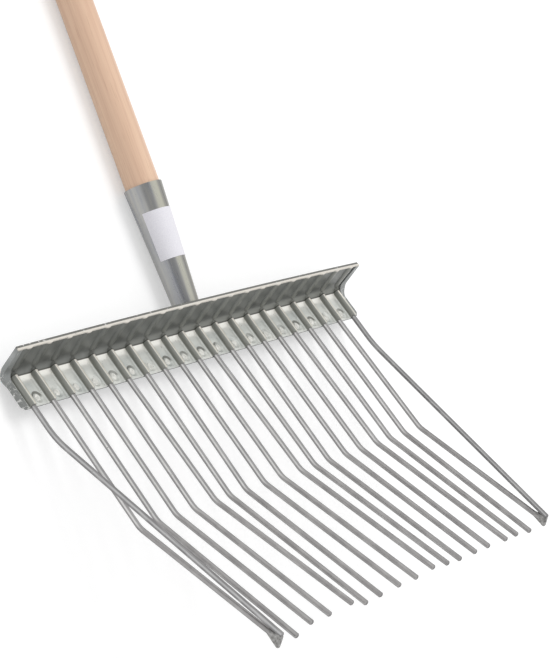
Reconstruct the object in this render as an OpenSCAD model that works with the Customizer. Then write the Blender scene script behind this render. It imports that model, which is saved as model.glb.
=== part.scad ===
// Stable fork: a comb of wire tines held between two pressed sheets, with a
// rolled socket welded behind them and a long wooden handle.
// Millimetres. +Z is up, +Y runs along the handle away from the tines, +X to the right.
// The fork lies on its back with the handle level, and the origin is at the
// middle of its length and width, on the surface that it lies on.

/* [Tines] */
// Distance between neighbouring tines
tine_pitch = 22; // [19:0.5:25]
// Diameter of the galvanised wire
rod_d = 4.2; // [3:0.1:5]
// Length of a tine from the plates' lower edge to its bend
root_len = 114; // [90:1:140]
// Length of a tine from its bend to its tip
front_len = 135; // [100:1:170]
// Angle of the bend in a tine
tine_bend = 19.5; // [12:0.5:28]
// Radius of the bend, on the wire's axis
bend_r = 20; // [10:1:40]
// Length of the wire's bevelled tip
tip_bevel = 0.7; // [0.3:0.1:1.2]

/* [Guards] */
// Straight stretch of a guard wire from the plates' lower edge to its bend
guard_run = 30; // [18:0.5:40]
// Radius of a guard wire's bend, on the wire's axis
guard_bend_r = 80; // [30:5:110]
// Depth of the left tip's weld foot under the tine's axis
foot_drop_left = 6.5; // [5:0.5:9]
// Depth of the right tip's weld foot under the tine's axis
foot_drop_right = 4.5; // [4:0.5:9]
// Radius of a weld foot's end
foot_r = 1.8; // [1.2:0.1:2.4]

/* [Plates] */
// Thickness of the ribbed front sheet
front_t = 1.2; // [0.8:0.1:1.6]
// Thickness of the flat back sheet
back_t = 1.2; // [0.8:0.1:1.6]
// Length of the lower flange, from its edge to the corner where the flanges' planes meet
lower_flange = 29.5; // [26:0.5:36]
// Height of the upper flange, from the corner to the middle of its top edge
upper_flange = 32; // [28:0.5:40]
// How far the top edge falls from its middle to its ends
top_crown = 2.8; // [0.4:0.2:4]
// Angle from the lower flange's plane up to the upper flange
flange_angle = 83; // [76:0.5:86]
// Width of the upper flange beyond the axis of each guard wire
plate_margin = 12; // [10:0.5:15]
// How far each end of the lower flange is drawn in from the upper flange's end
end_taper = 3.5; // [2:0.5:4.5]
// Cut across each lower corner
corner_cut = 3; // [1:0.5:3.5]
// Width of the folded end at the foot of the upper flange
end_fold = 7; // [5:0.5:8]
// Width of the folded end at the top corner
end_fold_top = 4; // [3:0.5:5]
// Radius of the bend between the flanges, on the front sheet's face
fold_r = 10; // [7:0.5:11]
// Fillet at the foot of each rib
rib_fillet = 1.4; // [0.6:0.2:2]
// Height of the soft wave above the upper flange at the crease
wave_low = 1.3; // [0.6:0.1:1.6]
// Height of the soft wave at the top edge
wave_top = 0.9; // [0.4:0.1:1.2]
// Radius of the soft wave
wave_r = 7; // [5:0.5:9]
// How far the top fold stands out over the front sheet
hem_lap = 1; // [0.4:0.1:1.2]

/* [Spot welds] */
// Diameter of the electrode's dimple
dimple_d = 10.5; // [9:0.5:11.5]
// Depth of the dimple
dimple_depth = 0.7; // [0.3:0.1:0.8]
// Width of the sloping rim round the dimple's flat bottom
dimple_rim = 2; // [1:0.2:2.6]
// Diameter of the weld in the dimple
spot_d = 5.8; // [3:0.2:6]
// Height of the weld in the dimple
spot_h = 0.5; // [0.2:0.05:0.6]
// Distance of the dimple's middle from the plates' lower edge
spot_y = 6.5; // [6:0.5:10]

/* [Socket] */
// Length of the socket along its axis, from the upper flange to its mouth
socket_len = 112; // [90:0.5:140]
// Outside diameter of the cone at the flange
socket_base_d = 20.4; // [19:0.2:23]
// Wall thickness of the socket
socket_wall = 1.5; // [1:0.1:2]
// Angle of the handle above the plane of the lower flange
handle_rise = 18.9; // [14:0.1:24]
// Height on the upper flange, from the corner, at which the handle's axis meets it
socket_lift = 9.6; // [9:0.1:14]
// Width of the rolled socket's open seam
seam_w = 0.8; // [0.4:0.1:1.6]
// Leg of the weld bead round the socket's foot
weld_leg = 3; // [2:0.2:4]

/* [Handle] */
// Diameter of the wooden handle
handle_d = 28; // [25:0.5:32]
// Whole length of the handle
handle_len = 1350; // [1000:10:1600]
// Rounding of the handle's free end
handle_end_r = 9; // [3:0.5:11]

/* [Fixing screw] */
// Distance of the screw from the socket's mouth
screw_from_mouth = 20; // [14:1:30]
// Direction of the screw round the socket, from +X towards +Z
screw_turn = -25; // [-40:1:20]
// Diameter of the screw's shank
screw_d = 4; // [3:0.1:5]
// Diameter of the screw's head
screw_head_d = 8; // [6.5:0.1:10]
// Height of the screw's head
screw_head_h = 2.6; // [1.8:0.1:3.2]
// Length of the screw's shank
screw_len = 16; // [10:1:20]

/* [Label] */
// Length of the paper label along the socket
label_len = 40; // [25:1:50]
// Angle that the label wraps round the socket
label_wrap = 164; // [90:1:200]
// Thickness of the paper
label_t = 0.2; // [0.1:0.05:0.4]
// Distance of the label's end from the socket's mouth
label_from_mouth = 22; // [12:0.5:30]
// Direction of the label's middle round the socket, from +X towards +Z
label_turn = 92; // [60:1:150]

/* [Clearances] */
// Gap between a wire and the sheets round it
rod_fit = 0.1; // [0.05:0.01:0.2]
// Gap between the handle and the socket's bore
handle_fit = 0.17; // [0.1:0.01:0.3]
// Gap at a seat, where two pieces are pressed or welded together
seat_gap = 0.05; // [0.02:0.01:0.1]
// Thickness of the glue between the label and the socket
label_glue = 0.15; // [0.1:0.01:0.3]

/* [Hidden] */
$fn = 48;

tine_count = 18;
last_rod = tine_count + 1;
// How far use has pushed each tine aside at its bend and at its tip, and how much
// longer than the others it is, all chosen by hand in whole millimetres
bend_aside = [-1, -2, -2, -2, 2, -2, -3, -1, 0, 4, 1, -1, 1, 1, 3, 1, 1, 3];
tip_aside = [0, -5, -2, -1, 7, -3, -4, 1, 3, 8, 4, -1, 0, -2, 2, -3, -7, 0];
tip_extra = [0, 3, -2, -2, -3, 2, 1, 0, 0, -2, 0, 1, 1, 1, 2, 2, 4, 1];
// A pushed tine leans from this far below the plates, in a bend of this radius
lean_from = 6;
lean_r = 120;
// A bend swells by a trace, and the straight pieces lap into it
bend_swell = 0.02;
bend_lap = 0.2;

rod_r = rod_d / 2;
handle_r = handle_d / 2;
mouth_r = handle_r + handle_fit + socket_wall;
base_r = socket_base_d / 2;
// A length longer than any cut needs
far = 600;
// The two flanges' bend takes this much of each, and the wires stop where it starts
fold_run = fold_r * tan(flange_angle / 2);
rod_in = lower_flange - fold_run;

// The comb is drawn lying flat: the wires' axes at z = 0, the plates' lower edge at y = 0
seat_z = -(rod_r + rod_fit);
crease = [lower_flange, seat_z + front_t];
stack_t = front_t + back_t;
rib_in = rod_r + rod_fit;
rib_out = rib_in + front_t;
guard_x = rod_x(0);
plate_half = -guard_x + plate_margin;
low_half = plate_half - end_taper;
up_flange = [cos(flange_angle), sin(flange_angle)];
off_flange = [-sin(flange_angle), cos(flange_angle)];
axis_foot = crease + up_flange * socket_lift;

// Angle between the handle's axis and the upper flange
seat_angle = flange_angle - handle_rise;
// Where the axis crosses the back of the plates, measured along the axis
seat_at = stack_t / sin(seat_angle);
cone_slope = (mouth_r - base_r) / socket_len;
inner_base_r = base_r - socket_wall;
// The handle's end clears the slanted foot of the socket by one millimetre
handle_from = seat_at + inner_base_r / tan(seat_angle) + 2;
handle_out = handle_len - (socket_len - handle_from);

// The lowest point of the left foot, in the frame of the comb, and the fork's reach from it
foot_lift = foot_drop_left - foot_r;
foot_y = -root_len - front_len * cos(tine_bend) - foot_lift * sin(tine_bend);
foot_z = front_len * sin(tine_bend) - foot_lift * cos(tine_bend);
foot_reach = (foot_y - axis_foot[0]) * cos(handle_rise) + (foot_z - axis_foot[1]) * sin(handle_rise);
head_reach = foot_reach - foot_r;
handle_reach = socket_len + handle_out;
axis_y = -(head_reach + handle_reach) / 2;
axis_z = mouth_r;

function rod_x(i) = (i - last_rod / 2) * tine_pitch;
function cone_r(t) = base_r + cone_slope * t;
function tine_name(i) = str("tine_", i < 10 ? "0" : "", i);
// The corner that the flanges' planes make at a depth behind the front sheet's face
function fold_point(depth) = crease - off_flange * depth - up_flange * depth * tan(flange_angle / 2);
// The bend and the tip of a tine, in the frame of the comb
function bend_at(i) = [rod_x(i) + bend_aside[i - 1], -root_len, 0];
function tip_at(i) =
    let (length = front_len + tip_extra[i - 1])
    [rod_x(i) + tip_aside[i - 1], -root_len - length * cos(tine_bend), length * sin(tine_bend)];
// Where the end of a guard's axis lies, over the tip of the tine
function guard_end(i) = tip_at(i) + [0, sin(tine_bend), cos(tine_bend)] * (rod_d + rod_fit);
function end_tine(side) = side < 0 ? 1 : tine_count;
// The top edge of the upper flange, which is crowned: its height at x
function top_edge(x) = upper_flange - top_crown * pow(x / plate_half, 2);
// A place turned about the x axis or the y axis
function turned_x(p, a) = [p[0], p[1] * cos(a) - p[2] * sin(a), p[1] * sin(a) + p[2] * cos(a)];
function turned_y(p, a) = [p[0] * cos(a) + p[2] * sin(a), p[1], p[2] * cos(a) - p[0] * sin(a)];

// Places what is drawn in the comb's frame
module comb() {
    translate([0, axis_y, axis_z])
        rotate([-handle_rise, 0, 0])
            translate([0, -axis_foot[0], -axis_foot[1]])
                children();
}

// Places what is drawn along the handle, from the flange towards the free end
module stick() {
    translate([0, axis_y, axis_z])
        rotate([-90, 0, 0])
            children();
}

// Places what is drawn on the upper flange: y up the flange, z out of its front face
module on_flange() {
    translate([0, crease[0], crease[1]])
        rotate([flange_angle, 0, 0])
            children();
}

// Side view of everything in front of the bent plates, down to a depth behind their face
module front_side(depth) {
    corner = fold_point(depth);
    centre = crease + [-fold_run, fold_r];
    difference() {
        polygon([
            corner,
            corner + up_flange * far,
            corner + up_flange * far - [far, 0],
            corner - [far, 0]
        ]);
        difference() {
            polygon([
                [centre[0], corner[1] - 1],
                [corner[0] + 1, corner[1] - 1],
                centre + (fold_r + depth + 2) * [sin(flange_angle), -cos(flange_angle)],
                centre
            ]);
            translate(centre)
                circle(r = fold_r + depth, $fn = 120);
        }
    }
}

// Extrudes a side view of the comb across its width
module across(half) {
    translate([-half, 0, 0])
        rotate([90, 0, 90])
            linear_extrude(2 * half)
                children();
}

// Extrudes a front view of the comb from the plates' lower edge backwards
module lengthwise(from, to) {
    translate([0, to, 0])
        rotate([90, 0, 0])
            linear_extrude(to - from)
                children();
}

// A straight piece of wire towards -Y that laps into a bend, with what follows it
module straight(length) {
    translate([0, bend_lap, 0])
        rotate([90, 0, 0])
            cylinder(h = length + 2 * bend_lap, r = rod_r);
    translate([0, -length, 0])
        children();
}

// The last straight piece of a wire, with its bevelled tip
module straight_end(length) {
    rotate([90, 0, 0])
        rotate_extrude()
            polygon([
                [0, -bend_lap],
                [rod_r, -bend_lap],
                [rod_r, length - tip_bevel],
                [rod_r - tip_bevel, length],
                [0, length]
            ]);
}

// A bend in the wire towards +Z rolled by roll, a trace thicker than the straight
// pieces that lap into it, with what follows it
module bend(radius, angle, roll) {
    rotate([0, roll, 0]) {
        translate([0, 0, radius])
            rotate([180, 90, 0])
                rotate_extrude(angle = angle, $fn = 96)
                    translate([radius, 0])
                        circle(r = rod_r + bend_swell);
        translate([0, 0, radius])
            rotate([-angle, 0, 0])
                translate([0, 0, -radius])
                    rotate([0, -roll, 0])
                        children();
    }
}

// A wire that starts towards -Y and turns at every corner but the last, where it ends
module wire(corners, radii) {
    first = corners[0];
    if (len(corners) == 1) {
        straight_end(-first[1]);
    } else {
        next = corners[1] - first;
        angle = atan2(norm([next[0], next[2]]), -next[1]);
        roll = atan2(next[0], next[2]);
        turn = radii[0] * tan(angle / 2);
        straight(-first[1] - turn)
            bend(radii[0], angle, roll)
                wire(
                    [
                        for (k = [1:len(corners) - 1])
                            turned_y(turned_x(turned_y(corners[k] - first, -roll), angle), roll)
                                + [0, turn, 0]
                    ],
                    [for (k = [1:1:len(radii) - 1]) radii[k]]
                );
    }
}

module tine(i) {
    start = [rod_x(i), rod_in, 0];
    lean = [rod_x(i), -lean_from, 0];
    straight_root = bend_aside[i - 1] == 0;
    corners = concat(straight_root ? [] : [lean], [bend_at(i), tip_at(i)]);
    color("lightgray")
        comb()
            translate(start)
                wire([for (corner = corners) corner - start], straight_root ? [bend_r] : [lean_r, bend_r]);
}

// side is -1 for the left guard and 1 for the right one
module guard(side) {
    start = [-side * guard_x, rod_in, 0];
    corners = [[-side * guard_x, -guard_run, 0], guard_end(end_tine(side))];
    color("lightgray")
        comb()
            translate(start)
                wire([for (corner = corners) corner - start], [guard_bend_r]);
}

// Places at the point to what is drawn along -Y, as a wire that came there from behind
module at_end(point, behind) {
    path = point - behind;
    translate(point)
        rotate([0, 0, atan2(path[0], -path[1])])
            rotate([-atan2(path[2], norm([path[0], path[1]])), 0, 0])
                children();
}

// The space that the end of a wire takes
module wire_end_space() {
    rotate([-90, 0, 0])
        cylinder(h = 60, r = rod_r + seat_gap);
}

// The melted foot that joins a guard's end to the tip of the tine under it
module tip_weld(side, drop) {
    i = end_tine(side);
    color("silver")
        comb()
            difference() {
                at_end(tip_at(i), bend_at(i))
                    hull() {
                        translate([0, foot_r, rod_r + rod_fit])
                            sphere(r = rod_r + 0.6, $fn = 24);
                        translate([0, 3 * rod_d, 0])
                            sphere(r = rod_r - 0.4, $fn = 24);
                        translate([0, 0, foot_r - drop])
                            sphere(r = foot_r, $fn = 24);
                    }
                at_end(tip_at(i), bend_at(i))
                    wire_end_space();
                at_end(guard_end(i), [-side * guard_x, -guard_run, 0])
                    wire_end_space();
            }
}

// Front view of the ribbed sheet: flats joined by a rib over every wire
module ribbed_outline(half) {
    translate([-half, seat_z])
        square([2 * half, front_t]);
    for (i = [0:last_rod])
        translate([rod_x(i), 0]) {
            difference() {
                circle(r = rib_out);
                translate([-rib_out, -2 * rib_out])
                    square([2 * rib_out, 2 * rib_out + seat_z]);
            }
            translate([-rib_out, seat_z])
                square([2 * rib_out, -seat_z]);
            for (side = [-1, 1])
                translate([side * rib_out, crease[1]])
                    difference() {
                        translate([side < 0 ? -rib_fillet : 0, 0])
                            square(rib_fillet);
                        translate([side * rib_fillet, rib_fillet])
                            circle(r = rib_fillet);
                    }
        }
}

// Front view of the channels that the wires lie in
module channel_outline() {
    for (i = [0:last_rod])
        translate([rod_x(i), 0]) {
            circle(r = rib_in);
            translate([-rib_in, seat_z - 1])
                square([2 * rib_in, 1 - seat_z]);
        }
}

// Everything above the crowned top edge of the upper flange, from inset below it
module past_top(inset) {
    steps = 6;
    on_flange()
        translate([0, 0, -far / 2])
            linear_extrude(far)
                polygon(concat(
                    [[-far, far], [-far, top_edge(plate_half) - inset]],
                    [
                        for (k = [-steps:steps])
                            let (x = plate_half * k / steps)
                            [x, top_edge(x) - inset]
                    ],
                    [[far, top_edge(plate_half) - inset], [far, far]]
                ));
}

// Everything beyond the ends of the plates, from inset inside them
module past_ends(inset) {
    for (side = [0, 1])
        mirror([side, 0, 0])
            translate([0, 0, -far / 2])
                linear_extrude(far)
                    polygon([
                        [low_half - inset - corner_cut - 2, -2],
                        [low_half - inset, corner_cut],
                        [low_half - inset, rod_in],
                        [plate_half - inset, lower_flange - stack_t],
                        [plate_half - inset, far],
                        [far, far],
                        [far, -2]
                    ]);
}

// The soft waves in which the ribs run out up the flange
module waves() {
    fall = atan((wave_low - wave_top) / upper_flange);
    for (i = [0:last_rod])
        translate([rod_x(i), 0, wave_low - wave_r])
            rotate([-90, 0, 0])
                rotate([fall, 0, 0])
                    cylinder(h = upper_flange + front_t, r = wave_r, $fn = 96);
}

module front_plate() {
    inset = back_t + seat_gap;
    // The bent sheet is a trace thinner than the ribbed flats that run into it
    trace = 0.02;
    color("darkgray")
        comb()
            difference() {
                union() {
                    intersection() {
                        lengthwise(0, lower_flange)
                            ribbed_outline(plate_half);
                        across(far) {
                            translate([-1, -far / 2])
                                square([rod_in + 1, far]);
                            front_side(front_t / 2);
                        }
                    }
                    across(far)
                        intersection() {
                            difference() {
                                front_side(front_t - trace);
                                front_side(trace);
                            }
                            translate([rod_in - 2, -far / 2])
                                square([far / 2, far]);
                        }
                    intersection() {
                        on_flange()
                            waves();
                        across(far)
                            front_side(front_t / 2);
                    }
                }
                past_ends(inset);
                past_top(inset);
                lengthwise(-1, rod_in + rod_fit)
                    channel_outline();
                for (i = [0:tine_count])
                    translate([rod_x(i) + tine_pitch / 2, spot_y, crease[1]])
                        dimple();
            }
}

// The shallow dish that an electrode presses into a flat, cut on past the surface
module dimple() {
    spread = dimple_rim / dimple_depth;
    translate([0, 0, -dimple_depth])
        cylinder(
            h = 2 * dimple_depth,
            r1 = dimple_d / 2 - dimple_rim,
            r2 = dimple_d / 2 - dimple_rim + 2 * dimple_depth * spread
        );
}

// Side view of a folded sheet between two depths, with its lower edge at y = 0
module sheet_side(near, deep) {
    intersection() {
        difference() {
            front_side(deep);
            front_side(near);
        }
        translate([0, -far / 2])
            square([far / 2, far]);
    }
}

// The ends of the back sheet, folded forward over the ends of the front sheet
module end_folds() {
    mid = back_t / 2;
    rib_edge = -guard_x + rib_out + rib_fillet + rod_fit;
    fold_in = max(plate_half - end_fold, rib_edge);
    top_in = plate_half - end_fold_top;
    difference() {
        // The closed side of the fold, and the flap in front of the front sheet
        across(plate_half + 1)
            sheet_side(-seat_gap - back_t, front_t + mid);
        difference() {
            across(far)
                sheet_side(-seat_gap, front_t + back_t);
            past_ends(back_t);
        }
        // The middle, between the two flaps
        translate([0, 0, -far / 2])
            linear_extrude(far)
                polygon([
                    [-rib_edge, -2],
                    [-rib_edge, rod_in],
                    [-fold_in, lower_flange - stack_t],
                    [-fold_in, far],
                    [fold_in, far],
                    [fold_in, lower_flange - stack_t],
                    [rib_edge, rod_in],
                    [rib_edge, -2]
                ]);
        on_flange()
            translate([0, 0, -far / 2])
                linear_extrude(far)
                    polygon([
                        [-fold_in, fold_run],
                        [-top_in, upper_flange],
                        [top_in, upper_flange],
                        [fold_in, fold_run]
                    ]);
        past_top(back_t / 2);
    }
}

// The top of the back sheet, folded forward over the front sheet's wavy edge
module top_fold() {
    deep = top_crown + back_t;
    mid = back_t / 2;
    difference() {
        on_flange()
            translate([0, upper_flange + 1, 0])
                rotate([90, 0, 0])
                    linear_extrude(deep + 2)
                        difference() {
                            union() {
                                translate([-far / 2, -front_t - mid])
                                    square([far, front_t + mid + hem_lap]);
                                for (i = [0:last_rod])
                                    translate([rod_x(i), wave_top + hem_lap - wave_r])
                                        circle(r = wave_r, $fn = 96);
                            }
                            translate([-far, -front_t - mid - 4 * wave_r])
                                square([2 * far, 4 * wave_r]);
                        }
        below_top(back_t);
    }
}

// Everything under the crowned top edge of the upper flange, from inset below it
module below_top(inset) {
    difference() {
        on_flange()
            translate([-far, -far / 4, -far / 4])
                cube([2 * far, far / 2, far / 2]);
        past_top(inset);
    }
}

module back_plate() {
    color("dimgray")
        comb()
            difference() {
                union() {
                    across(far / 2)
                        sheet_side(front_t, stack_t);
                    end_folds();
                    top_fold();
                }
                past_ends(0);
                past_top(0);
            }
}

// The welds that join the two sheets, one in every dimple
module spot_welds() {
    color("gainsboro")
        comb()
            for (i = [0:tine_count])
                translate([rod_x(i) + tine_pitch / 2, spot_y, crease[1] - dimple_depth + seat_gap])
                    cylinder(h = spot_h - seat_gap, r1 = spot_d / 2, r2 = spot_d / 2 - spot_h);
}

// The space in front of the back sheet's back face, where the socket's foot meets it
module plate_space() {
    on_flange()
        translate([-base_r * 2, fold_run - base_r * 2, -stack_t])
            cube([base_r * 4, far, far]);
    translate([0, rod_in, crease[1] + fold_r])
        rotate([0, 90, 0])
            cylinder(h = base_r * 4, r = fold_r + stack_t + seat_gap, center = true, $fn = 120);
}

// The wall is rolled up to an open seam along the underside
module socket() {
    low = -2 * base_r;
    seam_angle = 360 * seam_w / (2 * PI * mouth_r);
    color("silver")
        difference() {
            stick()
                difference() {
                    rotate([0, 0, 90 + seam_angle / 2])
                        rotate_extrude(angle = 360 - seam_angle)
                            polygon([
                                [cone_r(low) - socket_wall, low],
                                [cone_r(low), low],
                                [mouth_r, socket_len],
                                [mouth_r - socket_wall, socket_len]
                            ]);
                    screw_hole();
                }
            comb()
                plate_space();
        }
}

// Drawn along the handle: the axis of the screw, from the middle outwards
module at_screw() {
    translate([0, 0, socket_len - screw_from_mouth])
        rotate([0, 0, -screw_turn])
            rotate([0, 90, 0])
                children();
}

module screw_hole() {
    at_screw()
        cylinder(h = 2 * mouth_r, r = screw_d / 2 + seat_gap);
}

module socket_screw() {
    seat = cone_r(socket_len - screw_from_mouth + screw_head_d / 2) + seat_gap;
    slot = screw_head_d / 8;
    color("darkkhaki")
        stick()
            at_screw()
                difference() {
                    rotate_extrude()
                        polygon([
                            [0, seat - screw_len - screw_d],
                            [screw_d / 8, seat - screw_len - screw_d],
                            [screw_d / 2, seat - screw_len],
                            [screw_d / 2, seat],
                            [screw_head_d / 2, seat],
                            [screw_head_d / 2, seat + screw_head_h / 2],
                            [screw_head_d / 3, seat + screw_head_h],
                            [0, seat + screw_head_h]
                        ]);
                    translate([0, 0, seat + screw_head_h])
                        cube([screw_head_d, slot, screw_head_h], center = true);
                }
}

// The weld bead round the socket's foot, swept round the slanted cut of the cone
// and left open underneath, where the foot lies over the fold
module socket_weld() {
    steps = 40;
    tau = tan(seat_angle);
    start = seat_at + seat_gap / sin(seat_angle);
    round_r = base_r + seat_gap;
    foot_mid = socket_lift + stack_t / tau;
    low_end = asin(min(0.98, (foot_mid - fold_run - weld_leg) * sin(seat_angle) / base_r));
    function foot_t(a) = (start + round_r * sin(a) / tau) / (1 - cone_slope * sin(a) / tau);
    function on_cone(a, t) = [
        (round_r + cone_slope * t) * cos(a),
        t,
        (round_r + cone_slope * t) * sin(a)
    ];
    function along_plane(a) = [cos(a), sin(a) / tau, sin(a)];
    function unit(v) = v / norm(v);
    function section(a) =
        let (
            corner = on_cone(a, foot_t(a)),
            toe = corner + unit(along_plane(a)) * weld_leg,
            top = on_cone(a, foot_t(a) + weld_leg),
            crown = (toe + top) / 2 + unit(toe + top - 2 * corner) * weld_leg / 5
        )
        [corner, toe, crown, top];
    rings = [for (k = [0:steps]) each section(-low_end + k * (180 + 2 * low_end) / steps)];
    sides = [
        for (k = [0:steps - 1], j = [0:3])
            let (
                a = 4 * k + j,
                b = 4 * k + (j + 1) % 4
            )
            each [[a, b, b + 4], [a, b + 4, a + 4]]
    ];
    ends = [[3, 2, 1, 0], [4 * steps, 4 * steps + 1, 4 * steps + 2, 4 * steps + 3]];
    color("gray")
        translate([0, axis_y, axis_z])
            polyhedron(points = rings, faces = concat(sides, ends), convexity = 6);
}

module handle() {
    tip_r = cone_r(handle_from) - socket_wall - handle_fit;
    body = handle_reach - socket_len;
    color("burlywood")
        stick()
            difference() {
                union() {
                    translate([0, 0, handle_from])
                        cylinder(h = socket_len - handle_from, r1 = tip_r, r2 = handle_r);
                    translate([0, 0, socket_len])
                        cylinder(h = body - handle_end_r, r = handle_r);
                    translate([0, 0, handle_reach - handle_end_r])
                        rotate_extrude() {
                            square([handle_r - handle_end_r, handle_end_r]);
                            translate([handle_r - handle_end_r, 0])
                                intersection() {
                                    circle(r = handle_end_r);
                                    square(handle_end_r);
                                }
                        }
                }
                screw_hole_in_wood();
            }
}

// The pilot hole fits the screw's shank and its point
module screw_hole_in_wood() {
    seat = cone_r(socket_len - screw_from_mouth + screw_head_d / 2) + seat_gap;
    at_screw()
        translate([0, 0, seat - screw_len - screw_d - seat_gap])
            cylinder(h = screw_len + screw_d + 2 * mouth_r, r = screw_d / 2 + seat_gap);
}

// The label is wrapped part of the way round the cone
module label() {
    top = socket_len - label_from_mouth;
    low = top - label_len;
    color("white")
        stick()
            rotate([0, 0, -label_turn - label_wrap / 2])
                rotate_extrude(angle = label_wrap)
                    polygon([
                        [cone_r(low) + label_glue, low],
                        [cone_r(low) + label_glue + label_t, low],
                        [cone_r(top) + label_glue + label_t, top],
                        [cone_r(top) + label_glue, top]
                    ]);
}

handle();
socket();
socket_screw();
socket_weld();
front_plate();
back_plate();
for (i = [1:tine_count])
    tine(i);
guard(-1);  // guard_left
guard(1);  // guard_right
tip_weld(-1, foot_drop_left);  // tip_weld_left
tip_weld(1, foot_drop_right);  // tip_weld_right
spot_welds();
label();
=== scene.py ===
"""Looks of a stable fork: galvanised wire tines in pressed steel plates, on a wooden handle.

Everything is in metres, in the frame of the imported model. The CAD solids are the shapes,
and this script gives them their finishes, the floor, the light and the camera.
"""
from math import cos, radians, sin

import bpy
from mathutils import Euler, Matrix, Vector

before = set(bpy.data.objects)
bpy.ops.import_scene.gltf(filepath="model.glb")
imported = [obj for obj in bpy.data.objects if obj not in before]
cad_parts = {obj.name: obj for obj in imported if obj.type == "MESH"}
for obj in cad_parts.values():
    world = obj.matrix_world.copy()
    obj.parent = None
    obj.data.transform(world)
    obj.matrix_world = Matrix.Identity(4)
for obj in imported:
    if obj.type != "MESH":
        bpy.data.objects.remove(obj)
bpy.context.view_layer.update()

MM = 0.001
WHITE = (1, 1, 1, 1)

# Directions in the frame, and its origin, which lies midway between the fork's sides
RIGHT = (1, 0, 0)
TO_GRIP = (0, 1, 0)
ORIGIN = (0, 0, 0)

# The wires: the pitch that they stand at, where the tines bend, and how far before and past
# that bend a tine changes to its darker tones of painted shade
PITCH = 22 * MM
BEND_AT = (0, -0.694, 0.0545)
BEND_CHANGE = (6 * MM, -6 * MM)

# The plates: where the faces of their two flanges meet, how far the lower flange tilts,
# the angle between the two, and the ways that their faces look
FLANGE_FOOT = (0, -0.55856, 0.00703)
FLAT_TILT = radians(18.9)
FLANGE_ANGLE = radians(83)
FLANGE_RISE = FLANGE_ANGLE - FLAT_TILT
FLAT_OUT = (0, sin(FLAT_TILT), cos(FLAT_TILT))
FLANGE_UP = (0, cos(FLANGE_RISE), sin(FLANGE_RISE))
FLANGE_OUT = (0, -sin(FLANGE_RISE), cos(FLANGE_RISE))
# How far in front of the upper flange the dimples' middles lie
SPOT_OUT = 22.8 * MM


# Colours, as linear red, green, blue and alpha
def srgb(red, green, blue):
    """A colour written as it shows on a screen, 0 to 255, made linear by the sRGB curve."""
    def linear(value):
        share = value / 255
        return share / 12.92 if share <= 0.04045 else ((share + 0.055) / 1.055) ** 2.4
    return (linear(red), linear(green), linear(blue), 1.0)


# Where a Mix node has its share, its two values and its result, for each kind of value
MIX_SOCKETS = {"FLOAT": (0, 2, 3, 0), "RGBA": (0, 6, 7, 2)}


# Helpers for node trees
class Graph:
    """A node tree under construction.

    A value is a number, a vector, a colour or the output of a node.
    """

    def __init__(self, tree):
        self.tree = tree

    def add(self, kind, **settings):
        """A new node of that kind, with its settings."""
        node = self.tree.nodes.new(kind)
        for name, setting in settings.items():
            setattr(node, name, setting)
        return node

    def feed(self, socket, value):
        """Sets a socket to a value, or links it to the output that the value is."""
        if isinstance(value, bpy.types.NodeSocket):
            self.tree.links.new(value, socket)
        else:
            socket.default_value = value

    def compute(self, operation, *values):
        """The result of a Math node on one or two values."""
        node = self.add("ShaderNodeMath", operation=operation)
        for socket, value in zip(node.inputs, values):
            self.feed(socket, value)
        return node.outputs["Value"]

    def both(self, first, second):
        """Two masks together, or a mask and a share of it."""
        return self.compute("MULTIPLY", first, second)

    def length_of(self, aside, ahead):
        """The length of a slanting step that goes so far aside and so far ahead."""
        squares = [self.compute("MULTIPLY", step, step) for step in (aside, ahead)]
        return self.compute("SQRT", self.compute("ADD", *squares))

    def dot(self, vector, direction):
        """How far a vector goes in a fixed direction."""
        node = self.add("ShaderNodeVectorMath", operation="DOT_PRODUCT")
        for socket, value in zip(node.inputs, (vector, direction)):
            self.feed(socket, value)
        return node.outputs["Value"]

    def mask(self, value, off, on, at_off=0.0, at_on=1.0):
        """at_off until the value comes to off, at_on once it comes to on, and soft between.

        Off may be greater than on.
        """
        node = self.add("ShaderNodeMapRange", interpolation_type="SMOOTHSTEP")
        self.feed(node.inputs["Value"], value)
        self.feed(node.inputs["From Min"], off)
        self.feed(node.inputs["From Max"], on)
        self.feed(node.inputs["To Min"], at_off)
        self.feed(node.inputs["To Max"], at_on)
        return node.outputs["Result"]

    def band(self, value, low, high, edge):
        """1 between low and high, with a soft edge of that width on both sides."""
        return self.both(self.mask(value, low - edge, low), self.mask(value, high + edge, high))

    def mix(self, share, first, second, kind="RGBA"):
        """first, with second laid over it by share."""
        node = self.add("ShaderNodeMix", data_type=kind)
        share_at, first_at, second_at, result_at = MIX_SOCKETS[kind]
        self.feed(node.inputs[share_at], share)
        self.feed(node.inputs[first_at], first)
        self.feed(node.inputs[second_at], second)
        return node.outputs[result_at]


# How high the noise is where a speck has its full strength
SPECK_FULL = 0.78


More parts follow.
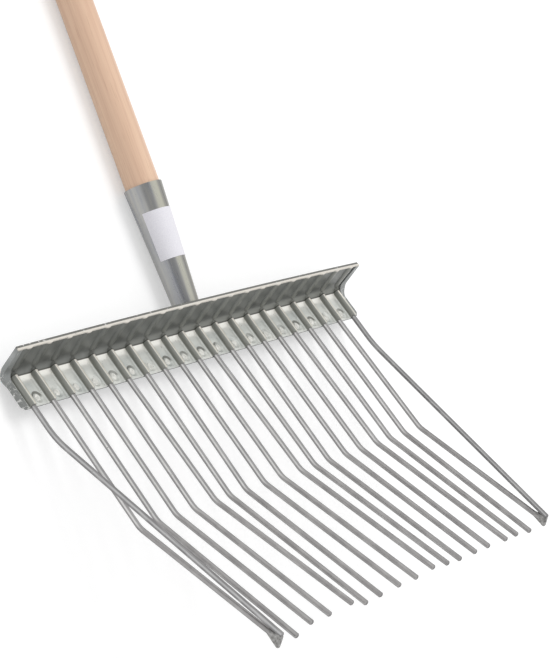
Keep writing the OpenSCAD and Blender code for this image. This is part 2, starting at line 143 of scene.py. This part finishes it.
class Finish(Graph):
    """A material under construction: a Principled shader and what feeds it."""

    def __init__(self, name, metallic):
        self.material = bpy.data.materials.new(name)
        self.material.use_nodes = True
        super().__init__(self.material.node_tree)
        self.shader = self.tree.nodes["Principled BSDF"]
        self.set("Metallic", metallic)
        self.place = self.add("ShaderNodeTexCoord").outputs["Object"]

    def set(self, name, value):
        """Gives one of the shader's sockets its value."""
        self.feed(self.shader.inputs[name], value)

    def set_roughness(self, value, smooth, rough):
        """Roughness between smooth and rough, where the value goes from 0 to 1."""
        node = self.add("ShaderNodeMapRange")
        self.feed(node.inputs["Value"], value)
        self.feed(node.inputs["To Min"], smooth)
        self.feed(node.inputs["To Max"], rough)
        self.set("Roughness", node.outputs["Result"])

    def set_relief(self, height, depth, strength):
        """Relief of that depth in metres, where the height goes from 0 to 1."""
        node = self.add("ShaderNodeBump")
        self.feed(node.inputs["Height"], height)
        self.feed(node.inputs["Distance"], depth)
        self.feed(node.inputs["Strength"], strength)
        self.set("Normal", node.outputs["Normal"])

    def along(self, direction, start):
        """How far a place lies from start along a direction, in metres."""
        reached = self.dot(self.place, direction)
        return self.compute("SUBTRACT", reached, Vector(direction).dot(Vector(start)))

    def facing(self, direction):
        """How squarely the surface faces a direction: 1 square on, 0 edge on."""
        return self.dot(self.add("ShaderNodeNewGeometry").outputs["Normal"], direction)

    def from_wire(self):
        """How far a place lies to the right of the wire in whose strip it is, in metres."""
        strips = self.compute("DIVIDE", self.along(RIGHT, ORIGIN), PITCH)
        into_strip = self.compute("MULTIPLY", self.compute("FRACT", strips), PITCH)
        return self.compute("SUBTRACT", into_strip, PITCH / 2)

    def noise(self, lumps, detail=3.0, roughness=0.55, distortion=0.0):
        """Noise from 0 to 1 with about so many lumps to the metre, along each axis or all."""
        mapping = self.add("ShaderNodeMapping")
        self.feed(mapping.inputs["Vector"], self.place)
        self.feed(mapping.inputs["Scale"], lumps if isinstance(lumps, tuple) else [lumps] * 3)
        node = self.add("ShaderNodeTexNoise")
        self.feed(node.inputs["Vector"], mapping.outputs["Vector"])
        self.feed(node.inputs["Scale"], 1.0)
        self.feed(node.inputs["Detail"], detail)
        self.feed(node.inputs["Roughness"], roughness)
        self.feed(node.inputs["Distortion"], distortion)
        return node.outputs["Fac"]

    def clouded(self, noise, tones, low, high):
        """The first tone where the noise is low, the second where it is high, mixed between."""
        node = self.add("ShaderNodeValToRGB")
        self.feed(node.inputs["Fac"], noise)
        for stop, position, tone in zip(node.color_ramp.elements, (low, high), tones):
            stop.position = position
            stop.color = tone
        return node.outputs["Color"]

    def painted(self, under, over, where, share):
        """under, with a tone laid over it where a mask says, by up to share."""
        return self.mix(self.both(where, share), under, over)

    def specked(self, under, speck, lumps, off, share):
        """under, with fine specks on it where a noise is highest."""
        specks = self.mask(self.noise(lumps, detail=2.0), off, SPECK_FULL)
        return self.painted(under, speck, specks, share)


# The wires, and the side along which each keeps a painted highlight, with painted shade on its
# flanks. A facing pair says how squarely the surface faces that side where a tone is off and
# where it is on
SHINE_LINE_SIDE = (-0.84, 0.18, 0.51)
FLANK_SHADE_FACING = (0.995, 0.9)
PAST_BEND_SHADE_FACING = (0.8, 0.3)
TINE_TONES = (srgb(222, 221, 220), srgb(240, 239, 238))
GUARD_TONES = (srgb(180, 180, 180), srgb(198, 198, 198))
PAST_BEND_SHADE_TONES = (srgb(150, 148, 148), srgb(170, 168, 167))
WIRE_FLANK_SHADE = srgb(118, 116, 117)
PAST_BEND_FLANK_SHADE = srgb(104, 102, 103)
WIRE_STREAK = srgb(210, 209, 208)
WIRE_SPECK = srgb(126, 124, 122)
WIRE_SHINE = 0.2
WIRE_SHINE_TINT = (0.3, 0.3, 0.3, 1)


def zinc_wire(name, tones, shade_past_bend):
    """Galvanised wire: clouds, streaks, specks, painted shade on its flanks and a painted
    highlight on one side.
    """
    wire = Finish(name, metallic=0.7)
    facing = wire.facing(SHINE_LINE_SIDE)
    clouds = wire.clouded(wire.noise(70), tones, low=0.3, high=0.7)
    # Painted shade on the flanks, leaving a painted highlight where the wire faces the shine side
    tone = wire.painted(clouds, WIRE_FLANK_SHADE, wire.mask(facing, *FLANK_SHADE_FACING), share=0.8)
    # Past the bend, a tine gets darker tones and darker flanks, as painted shade
    if shade_past_bend:
        past_bend_clouds = wire.clouded(wire.noise(90), PAST_BEND_SHADE_TONES, low=0.3, high=0.7)
        past_bend_flank_shade = wire.mask(facing, *PAST_BEND_SHADE_FACING)
        past_bend_shade_tone = wire.painted(past_bend_clouds, PAST_BEND_FLANK_SHADE, past_bend_flank_shade, share=0.5)
        past_bend = wire.mask(wire.along(TO_GRIP, BEND_AT), *BEND_CHANGE)
        tone = wire.mix(past_bend, tone, past_bend_shade_tone)
    streaks = wire.mask(wire.noise((900, 25, 60)), off=0.45, on=0.7)
    streaked = wire.painted(tone, WIRE_STREAK, streaks, share=0.3)
    wire.set("Base Color", wire.specked(streaked, WIRE_SPECK, lumps=900, off=0.64, share=0.7))
    wire.set_roughness(wire.noise(300), smooth=0.24, rough=0.38)
    wire.set_relief(wire.noise(1400, detail=2.0), depth=0.04 * MM, strength=0.4)
    wire.set("Specular IOR Level", WIRE_SHINE)
    wire.set("Specular Tint", WIRE_SHINE_TINT)
    return wire.material


# The front sheet. Out is how far a place lies in front of the upper flange, rise how high it
# lies over the flats, aside how far to the right of its wire, and across how far to the right
# of the fork's middle. Of a pair of lengths, a mask is off at the first and on at the second,
# and a band lies between them. A pair of shares goes with the lengths above it
BEND_HIGHLIGHT_OUT = (12 * MM, 5 * MM)
RIB_RISE = (0.3 * MM, 0.9 * MM)
RIB_FOOT_ASIDE = (3.2 * MM, 4.4 * MM)
RIB_FLANK_ASIDE = (-3.4 * MM, -1.2 * MM)
RIB_CREST_ASIDE = (-0.3 * MM, 0.7 * MM)
RIB_EDGE = 0.5 * MM
CREST_OUT = (16 * MM, 6 * MM)
DIMPLE_RIM = (3.6 * MM, 4.8 * MM)
DIMPLE_EDGE = 0.6 * MM
DIMPLE_UPPER_HALF = (2 * MM, -1.5 * MM)
FLANGE_REACH = (4.3 * MM, 3.8 * MM)
CREASE_OUT = (3.4 * MM, 3.8 * MM)
CREASE_EDGE = 0.3 * MM
WAVE_ASIDE = (1.0 * MM, 2.0 * MM)
WAVE_EDGE = 5.0 * MM
HOLLOW_SHADE_ACROSS = (60 * MM, -160 * MM)
HOLLOW_SHADE_SHARES = (0.25, 0.75)
WAVE_TOP_OUT = (1.4 * MM, 2.6 * MM)
WAVE_TOP_EDGE = 1.2 * MM
SHINE_ACROSS = (-180 * MM, 60 * MM)
SHINE_SHARES = (0.15, 0.65)
# Of these tones, the flat bend highlight, rib crest highlights and wave top highlight are painted
# highlights; the rib flank, dimple arch, flange, wave hollow and flange crease tones are painted
# shade
FLAT_TONES = (srgb(198, 202, 198), srgb(230, 231, 225))
FLAT_BEND_HIGHLIGHT = srgb(252, 250, 243)
RIB_FOOT = srgb(132, 126, 112)
RIB_FLANK_SHADE = srgb(142, 143, 137)
RIB_CREST_HIGHLIGHTS = (srgb(214, 209, 196), srgb(252, 245, 232))
DIMPLE_ARCH_SHADE = srgb(92, 92, 85)
FLANGE_SHADE_TONES = (srgb(108, 110, 107), srgb(128, 130, 127))
WAVE_HOLLOW_SHADE = srgb(98, 100, 96)
WAVE_TOP_HIGHLIGHT = srgb(142, 143, 136)
FLANGE_CREASE_SHADE = srgb(84, 84, 78)
FRONT_SPECK = srgb(112, 112, 106)


def paint_flats(steel, out, aside):
    """Pale flats with a painted highlight near the upper flange, and a brown line right of each
    rib.
    """
    clouds = steel.clouded(steel.noise(55, detail=4.0), FLAT_TONES, low=0.35, high=0.68)
    # A painted highlight on the flats where they bend up into the upper flange
    flats = steel.painted(clouds, FLAT_BEND_HIGHLIGHT, steel.mask(out, *BEND_HIGHLIGHT_OUT), share=0.95)
    foot = steel.band(aside, *RIB_FOOT_ASIDE, RIB_EDGE)
    return steel.painted(flats, RIB_FOOT, foot, share=0.6)


def paint_dimple_shade(steel, flats, out, aside):
    """Painted shade: a dark arch round the upper half of some of the dimples."""
    beyond = steel.compute("SUBTRACT", out, SPOT_OUT)
    to_side = steel.compute("SUBTRACT", steel.compute("ABSOLUTE", aside), PITCH / 2)
    from_middle = steel.length_of(to_side, beyond)
    rim = steel.band(from_middle, *DIMPLE_RIM, DIMPLE_EDGE)
    arch = steel.both(rim, steel.mask(beyond, *DIMPLE_UPPER_HALF))
    some = steel.mask(steel.noise((26, 6, 6)), off=0.36, on=0.56)
    # Painted shade along the upper rim of the dimples
    return steel.painted(flats, DIMPLE_ARCH_SHADE, steel.both(arch, some), share=0.85)


def paint_ribs(steel, flats, out, aside):
    """Ribs over the wires, with painted shade on their left flank and a painted highlight on their
    crest.
    """
    raised = steel.mask(steel.along(FLAT_OUT, FLANGE_FOOT), *RIB_RISE)
    # Painted shade on each rib's left flank, and a painted highlight along its crest
    flank_shade = steel.both(raised, steel.band(aside, *RIB_FLANK_ASIDE, RIB_EDGE))
    crest = steel.both(raised, steel.band(aside, *RIB_CREST_ASIDE, RIB_EDGE))
    crest_highlight = steel.mix(steel.mask(out, *CREST_OUT), *RIB_CREST_HIGHLIGHTS)
    return steel.mix(crest, steel.mix(flank_shade, flats, RIB_FLANK_SHADE), crest_highlight)


def paint_upper_flange(steel, out, aside):
    """Upper flange painted dark as shade, with more painted shade in wave hollows to the left and
    painted highlights on wave tops to the right.
    """
    across = steel.along(RIGHT, ORIGIN)
    # How much painted shade the wave hollows get, and how much painted highlight the wave tops
    # get, across the fork
    hollow_shade = steel.mask(across, *HOLLOW_SHADE_ACROSS, *HOLLOW_SHADE_SHARES)
    shine = steel.mask(across, *SHINE_ACROSS, *SHINE_SHARES)
    # The flange's own tones are dark, as painted shade
    flange_shade = steel.clouded(steel.noise((60, 50, 24), detail=4.0), FLANGE_SHADE_TONES, low=0.36, high=0.68)
    hollows = steel.band(aside, *WAVE_ASIDE, WAVE_EDGE)
    waved = steel.painted(flange_shade, WAVE_HOLLOW_SHADE, hollows, share=hollow_shade)
    tops = steel.band(out, *WAVE_TOP_OUT, WAVE_TOP_EDGE)
    lit = steel.painted(waved, WAVE_TOP_HIGHLIGHT, tops, share=shine)
    # Painted shade along the crease at the flange's foot
    return steel.mix(steel.band(out, *CREASE_OUT, CREASE_EDGE), lit, FLANGE_CREASE_SHADE)


def front_steel():
    """Galvanised sheet: flats and ribs with painted highlights, painted shade on rib flanks,
    dimple rims and the upper flange.
    """
    steel = Finish("front_steel", metallic=0.45)
    out = steel.along(FLANGE_OUT, FLANGE_FOOT)
    aside = steel.from_wire()
    flats = paint_flats(steel, out, aside)
    dimple_shaded = paint_dimple_shade(steel, flats, out, aside)
    ribbed = paint_ribs(steel, dimple_shaded, out, aside)
    flange = paint_upper_flange(steel, out, aside)
    tone = steel.mix(steel.mask(out, *FLANGE_REACH), ribbed, flange)
    steel.set("Base Color", steel.specked(tone, FRONT_SPECK, lumps=650, off=0.64, share=0.6))
    steel.set_roughness(steel.noise(150), smooth=0.28, rough=0.45)
    steel.set_relief(steel.noise(420), depth=0.05 * MM, strength=0.5)
    return steel.material


# The back sheet. Up is how far a place lies up the upper flange, out how far in front of it,
# and from the middle how far to either side
TOP_UP = (27.5 * MM, 29 * MM)
LIP_OUT = (-0.9 * MM, -0.3 * MM)
LOW_UP = (3 * MM, -2 * MM)
END_FROM_MIDDLE = (208 * MM, 212 * MM)
CRUMPLED_UP = (9 * MM, 3 * MM)
CRUMPLE_LINE = (0.484, 0.486)
CRUMPLE_EDGE = 0.007
BACK_TONES = (srgb(140, 143, 142), srgb(170, 172, 172))
TOP_EDGE = srgb(112, 112, 108)
BACK_LOW = srgb(134, 136, 134)
# The folded lip's tone is a painted highlight
FOLDED_LIP_HIGHLIGHT = srgb(226, 221, 212)
SCUFF = srgb(222, 222, 219)
# Painted glints for the creases at the ends
CRUMPLE_GLINT = srgb(244, 244, 242)
BACK_SPECK = srgb(108, 110, 108)


def paint_folded_edge(steel, up):
    """Blue-grey zinc, darker below and along the top edge, with a painted highlight on its lip."""
    clouds = steel.clouded(steel.noise(60, detail=4.0), BACK_TONES, low=0.35, high=0.68)
    top = steel.mask(up, *TOP_UP)
    topped = steel.mix(top, clouds, TOP_EDGE)
    darker_below = steel.mix(steel.mask(up, *LOW_UP), topped, BACK_LOW)
    lip = steel.both(top, steel.mask(steel.along(FLANGE_OUT, FLANGE_FOOT), *LIP_OUT))
    # A painted highlight where the top of the fold catches the light
    return steel.mix(lip, darker_below, FOLDED_LIP_HIGHLIGHT)


def paint_wear_and_glints(steel, under, up):
    """Pale scuffs all over, and painted glints along thin creases low down at both ends."""
    scuffs = steel.mask(steel.noise((240, 320, 140), detail=5.0), off=0.6, on=0.68)
    scuffed = steel.painted(under, SCUFF, scuffs, share=0.7)
    from_middle = steel.compute("ABSOLUTE", steel.along(RIGHT, ORIGIN))
    low_ends = steel.both(
        steel.mask(from_middle, *END_FROM_MIDDLE), steel.mask(up, *CRUMPLED_UP)
    )
    crumple = steel.noise(105, roughness=0.6, distortion=0.8)
    # Painted glints along the creases of the crumpled ends
    crease_glints = steel.both(low_ends, steel.band(crumple, *CRUMPLE_LINE, CRUMPLE_EDGE))
    return steel.painted(scuffed, CRUMPLE_GLINT, crease_glints, share=0.75)


def back_steel():
    """The plain back sheet: blue-grey zinc, with a painted highlight on its folded lip and painted
    glints at its ends.
    """
    steel = Finish("back_steel", metallic=0.45)
    up = steel.along(FLANGE_UP, FLANGE_FOOT)
    worn = paint_wear_and_glints(steel, paint_folded_edge(steel, up), up)
    steel.set("Base Color", steel.specked(worn, BACK_SPECK, lumps=650, off=0.64, share=0.7))
    steel.set_roughness(steel.noise(150), smooth=0.34, rough=0.55)
    steel.set_relief(steel.noise(420), depth=0.05 * MM, strength=0.5)
    return steel.material


# The socket, with a painted highlight along one side and painted shade on another. The facing
# pairs say the same as the wires' do
SOCKET_HIGHLIGHT_SIDE = (-0.26, 0, 0.966)
SOCKET_HIGHLIGHT_FACING = (0.95, 0.998)
SOCKET_SHADE_SIDE = (0.5, 0, 0.87)
SOCKET_SHADE_FACING = (0.75, 0.96)
SOCKET_TONES = (srgb(152, 154, 160), srgb(182, 181, 175))
SOCKET_HIGHLIGHT = srgb(200, 198, 178)
SOCKET_SHADE = srgb(112, 108, 92)
SOCKET_SPECK = srgb(112, 112, 110)


def socket_steel():
    """Rolled sheet with drawn streaks along the cone, a painted highlight on top and painted shade
    facing up and right.
    """
    steel = Finish("socket_steel", metallic=0.75)
    streaks = steel.noise((260, 14, 260), detail=4.0)
    drawn = steel.clouded(streaks, SOCKET_TONES, low=0.3, high=0.72)
    # A painted highlight along the top of the socket
    highlight_side = steel.mask(steel.facing(SOCKET_HIGHLIGHT_SIDE), *SOCKET_HIGHLIGHT_FACING)
    highlighted = steel.painted(drawn, SOCKET_HIGHLIGHT, highlight_side, share=0.55)
    # Painted shade on the side that faces up and to the right
    shade_side = steel.mask(steel.facing(SOCKET_SHADE_SIDE), *SOCKET_SHADE_FACING)
    with_shade = steel.painted(highlighted, SOCKET_SHADE, shade_side, share=0.55)
    steel.set("Base Color", steel.specked(with_shade, SOCKET_SPECK, lumps=800, off=0.63, share=0.7))
    steel.set_roughness(streaks, smooth=0.22, rough=0.36)
    steel.set_relief(steel.noise((420, 60, 420)), depth=0.05 * MM, strength=0.5)
    return steel.material


# The welds and the screw
BEAD_TONES = (srgb(112, 111, 109), srgb(186, 185, 183))
BEAD_RIPPLE = 0.35 * MM
# The spot welds' pale tones are a painted highlight, standing in for their shine
SPOT_SHINE_TONES = (srgb(205, 205, 199), srgb(250, 249, 243))
SPOT_RIPPLE = 0.05 * MM
SCREW_TONES = (srgb(150, 142, 118), srgb(202, 194, 168))


def weld_metal(name, tones, ripple):
    """Melted metal, rippled and clouded in the tones given: heat stains on beads, painted
    highlight on spot welds.
    """
    weld = Finish(name, metallic=0.5)
    stain = weld.noise(380, detail=4.0)
    weld.set("Base Color", weld.clouded(stain, tones, low=0.35, high=0.7))
    weld.set_roughness(stain, smooth=0.3, rough=0.55)
    weld.set_relief(weld.noise(600), depth=ripple, strength=0.8)
    return weld.material


def screw_steel():
    """Plated steel with a yellow cast."""
    screw = Finish("screw_steel", metallic=0.7)
    turned = screw.noise(700)
    screw.set("Base Color", screw.clouded(turned, SCREW_TONES, low=0.35, high=0.7))
    screw.set_roughness(turned, smooth=0.3, rough=0.45)
    screw.set_relief(screw.noise(1500), depth=0.03 * MM, strength=0.4)
    return screw.material


# The handle and the label
WOOD_TONES = (srgb(230, 193, 166), srgb(243, 212, 182))
WOOD_GRAIN = srgb(222, 184, 157)
WOOD_PORE = srgb(196, 152, 124)
VARNISH = 0.15
VARNISH_ROUGHNESS = 0.3
PAPER_TONES = (srgb(232, 230, 238), srgb(244, 243, 248))


def handle_wood():
    """Pale turned ash under a thin varnish, with long grain and fine pores."""
    wood = Finish("handle_wood", metallic=0.0)
    drift = wood.noise((46, 1.6, 46), detail=4.0, distortion=0.6)
    grain = wood.noise((330, 5.0, 330), detail=5.0, roughness=0.62, distortion=0.35)
    pores = wood.mask(wood.noise((1500, 34, 1500), detail=2.0), off=0.6, on=0.72)
    drifted = wood.clouded(drift, WOOD_TONES, low=0.3, high=0.7)
    grained = wood.mix(wood.mask(grain, off=0.42, on=0.7), drifted, WOOD_GRAIN)
    wood.set("Base Color", wood.painted(grained, WOOD_PORE, pores, share=0.4))
    wood.set_roughness(grain, smooth=0.36, rough=0.52)
    wood.set_relief(grain, depth=0.12 * MM, strength=0.5)
    wood.set("Coat Weight", VARNISH)
    wood.set("Coat Roughness", VARNISH_ROUGHNESS)
    return wood.material


def label_paper():
    """Plain white paper, a little crumpled."""
    paper = Finish("label_paper", metallic=0.0)
    fibres = paper.noise(1600, detail=2.0)
    paper.set("Base Color", paper.clouded(fibres, PAPER_TONES, low=0.3, high=0.7))
    paper.set_roughness(paper.noise(300), smooth=0.45, rough=0.65)
    paper.set_relief(paper.noise(260), depth=0.15 * MM, strength=0.4)
    return paper.material


# Which finish each node has
def dress(finish, *names):
    """Gives CAD nodes one finish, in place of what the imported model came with."""
    for name in names:
        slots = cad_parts[name].data.materials
        slots.clear()
        slots.append(finish)


def named(start):
    """The names of the nodes that start like that, in order."""
    return [name for name in sorted(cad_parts) if name.startswith(start)]


def dress_fork():
    """Gives every node its finish."""
    dress(zinc_wire("tine_wire", TINE_TONES, shade_past_bend=True), *named("tine_"))
    dress(zinc_wire("guard_wire", GUARD_TONES, shade_past_bend=False), *named("guard_"))
    dress(front_steel(), "front_plate")
    dress(back_steel(), "back_plate")
    dress(socket_steel(), "socket")
    dress(weld_metal("weld_metal", BEAD_TONES, BEAD_RIPPLE), "socket_weld", *named("tip_weld_"))
    dress(weld_metal("spot_metal", SPOT_SHINE_TONES, SPOT_RIPPLE), "spot_welds")
    dress(screw_steel(), "socket_screw")
    dress(handle_wood(), "handle")
    dress(label_paper(), "label")


# The floor, which shows white but keeps the fork's shadow
FLOOR_SIZE = 60
FLOOR_DROP = 0.2 * MM
FLOOR_LIFT = 0.4
FLOOR_WHITE = 0.7
FLOOR_ROUGHNESS = 0.9


def seen_rays(graph):
    """1 for rays that show a background: the camera's, and those off metal or through glass."""
    rays = graph.add("ShaderNodeLightPath").outputs
    direct_or_mirrored = graph.compute("MAXIMUM", rays["Is Camera Ray"], rays["Is Glossy Ray"])
    return graph.compute("MAXIMUM", direct_or_mirrored, rays["Is Transmission Ray"])


def add_floor():
    """A level white floor just under the fork, which glows a little where it is seen."""
    bpy.ops.mesh.primitive_plane_add(size=FLOOR_SIZE, location=(0, 0, -FLOOR_DROP))
    floor = bpy.context.object
    floor.name = "floor"
    white = Finish("floor_white", metallic=0.0)
    white.set("Base Color", (FLOOR_WHITE, FLOOR_WHITE, FLOOR_WHITE, 1))
    white.set("Roughness", FLOOR_ROUGHNESS)
    white.set("Specular IOR Level", 0.0)
    white.set("Emission Color", WHITE)
    white.set("Emission Strength", white.compute("MULTIPLY", seen_rays(white), FLOOR_LIFT))
    floor.data.materials.append(white.material)


# The light: a soft key from above, which metal doesn't mirror, and a plain white world, which
# metal mirrors as white but for a dim patch on the side that the camera is on. The spread of
# the key is in degrees
KEY_FROM = Vector((0.22, 0.35, 0.91))
KEY_STRENGTH = 0.95
KEY_SPREAD = 34
AMBIENT = 0.72
SEEN_WHITE = 1.0
PATCH = 0.4
PATCH_AT = (-0.6, -0.05, 0.8)
PATCH_EDGE = (0.8, 0.94)


def studio_level(graph):
    """How bright the world is: white to the camera, plain for light, graded for mirrors."""
    rays = graph.add("ShaderNodeLightPath").outputs
    direction = graph.add("ShaderNodeTexCoord").outputs["Generated"]
    towards_patch = graph.dot(direction, PATCH_AT)
    mirrored = graph.mask(towards_patch, *PATCH_EDGE, at_off=SEEN_WHITE, at_on=PATCH)
    level = graph.mix(rays["Is Glossy Ray"], AMBIENT, mirrored, kind="FLOAT")
    level = graph.mix(rays["Is Transmission Ray"], level, SEEN_WHITE, kind="FLOAT")
    return graph.mix(rays["Is Camera Ray"], level, SEEN_WHITE, kind="FLOAT")


def add_light():
    """The key lamp and the world."""
    lamp = bpy.data.lights.new("key", "SUN")
    lamp.energy = KEY_STRENGTH
    lamp.angle = radians(KEY_SPREAD)
    key = bpy.data.objects.new("key", lamp)
    key.rotation_euler = KEY_FROM.to_track_quat("Z", "Y").to_euler()
    key.visible_glossy = False
    bpy.context.scene.collection.objects.link(key)

    world = bpy.data.worlds.new("studio")
    bpy.context.scene.world = world
    world.use_nodes = True
    graph = Graph(world.node_tree)
    background = world.node_tree.nodes["Background"]
    graph.feed(background.inputs["Color"], WHITE)
    graph.feed(background.inputs["Strength"], studio_level(graph))


# The camera, where the photograph was taken from. The turns are in degrees, the lens and its
# sensor in millimetres
CAMERA_AT = (-1.51267, -0.70421, 1.19683)
CAMERA_TURNS = (28.006, -48.08, -31.113)
CAMERA_LENS = 134.166
CAMERA_SENSOR = 36
NEAREST_SEEN = 0.05
FARTHEST_SEEN = 200


def add_camera():
    """The camera, made the scene's own."""
    lens = bpy.data.cameras.new("camera")
    lens.lens = CAMERA_LENS
    lens.sensor_width = CAMERA_SENSOR
    lens.clip_start = NEAREST_SEEN
    lens.clip_end = FARTHEST_SEEN
    camera = bpy.data.objects.new("camera", lens)
    camera.location = CAMERA_AT
    camera.rotation_euler = Euler([radians(turn) for turn in CAMERA_TURNS], "XYZ")
    bpy.context.scene.collection.objects.link(camera)
    bpy.context.scene.camera = camera


dress_fork()
add_floor()
add_light()
add_camera()
bpy.context.scene.view_settings.view_transform = "Standard"
